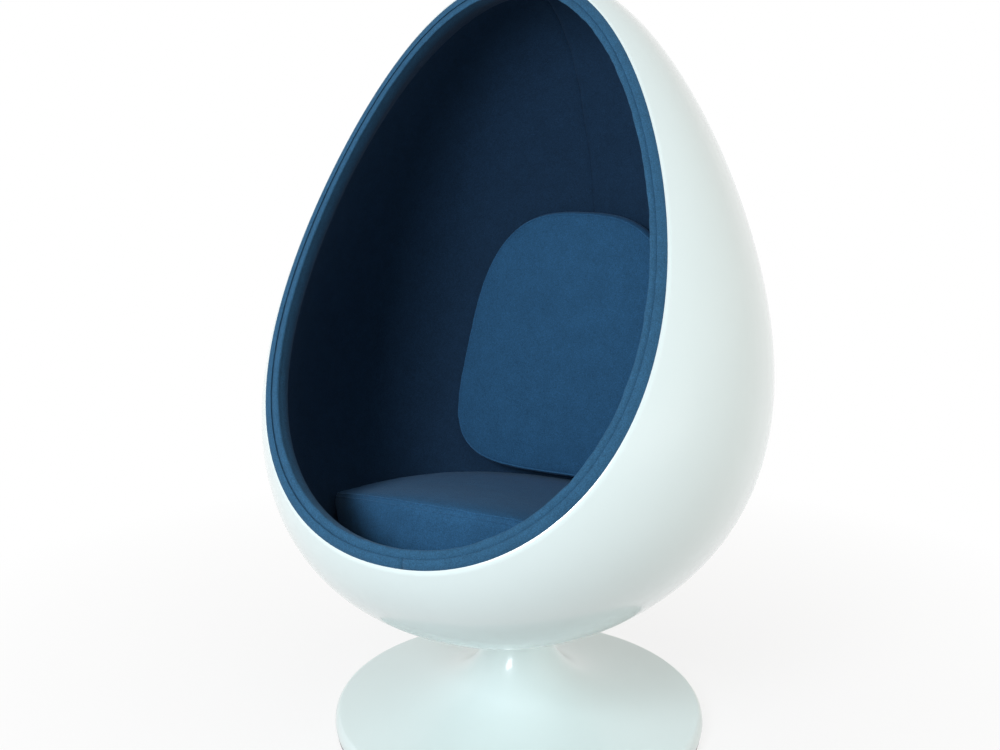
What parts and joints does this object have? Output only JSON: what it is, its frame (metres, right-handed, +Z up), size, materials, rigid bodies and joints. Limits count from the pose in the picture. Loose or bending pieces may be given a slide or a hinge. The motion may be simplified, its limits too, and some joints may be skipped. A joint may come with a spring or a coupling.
{
  "type": "pod chair",
  "caption": "Egg-shaped pod chair: glossy white shell with padded blue inside, loose seat and back cushions, turning on a round trumpet foot.",
  "frame": {"origin": "on the floor, under the swivel axis, in the middle of the foot", "axes": "+Z up along the swivel axis, -Y out of the opening of the pod, +X to the right for someone who looks at the back cushion"},
  "size_m": [0.8578, 0.8195, 1.3126],
  "materials": {
    "shell_gloss": "high gloss white",
    "foot_gloss": "high gloss white lacquer",
    "felt_blue": "felted wool",
    "felt_navy": "felted wool",
    "steel": "zinc plated",
    "black_steel": "black satin",
    "cast_iron": "as cast",
    "brass": "plain",
    "nylon": "natural",
    "felt_pad": "pressed felt",
    "tape": "hook and loop tape"
  },
  "bodies": {
    "base": {"floor_pad": "felt_pad", "base_plate": "black_steel", "base_trumpet": "foot_gloss", "ballast_ring": "cast_iron", "plate_screws": "steel", "base_post": "black_steel", "flange_bolts": "steel", "flange_washers": "steel", "swivel_housing": "black_steel", "spindle_bush": "brass", "lower_race": "steel", "neck_spacer": "nylon"},
    "bearing": {"ball_cage": "brass", "bearing_balls": "steel"},
    "pod": {"swivel_spindle": "steel", "upper_race": "steel", "retaining_washer": "steel", "retaining_clip": "black_steel", "egg_shell": "shell_gloss", "backing_plate": "steel", "seat_pedestal": "black_steel", "shell_bolts": "steel", "shell_washers": "steel", "rim_trim": "felt_blue", "rim_roll": "felt_blue", "lining_left": "felt_navy", "lining_right": "felt_navy", "seat_deck": "felt_navy", "deck_screws": "steel", "seat_cushion": "felt_blue", "lumbar_block": "felt_navy", "hook_strips": "tape"},
    "back_pad": {"back_cushion": "felt_blue", "loop_strips": "tape"}
  },
  "joints": [
    {"name": "pod_swivel", "type": "hinge", "parent": "base", "child": "pod", "pos_m": [0, 0, 0.189], "axis": [0, 0, 1], "continuous": true},
    {"name": "cage_turn", "type": "hinge", "parent": "base", "child": "bearing", "pos_m": [0, 0, 0.173], "axis": [0, 0, 1], "continuous": true},
    {"name": "back_cushion_pull", "type": "slide", "parent": "pod", "child": "back_pad", "axis": [0, -0.9703, 0.2419], "range_m": [0, 0.06]}
  ],
  "couplings": [
    {"joint": "cage_turn", "follows": "pod_swivel", "ratio": 0.5}
  ]
}
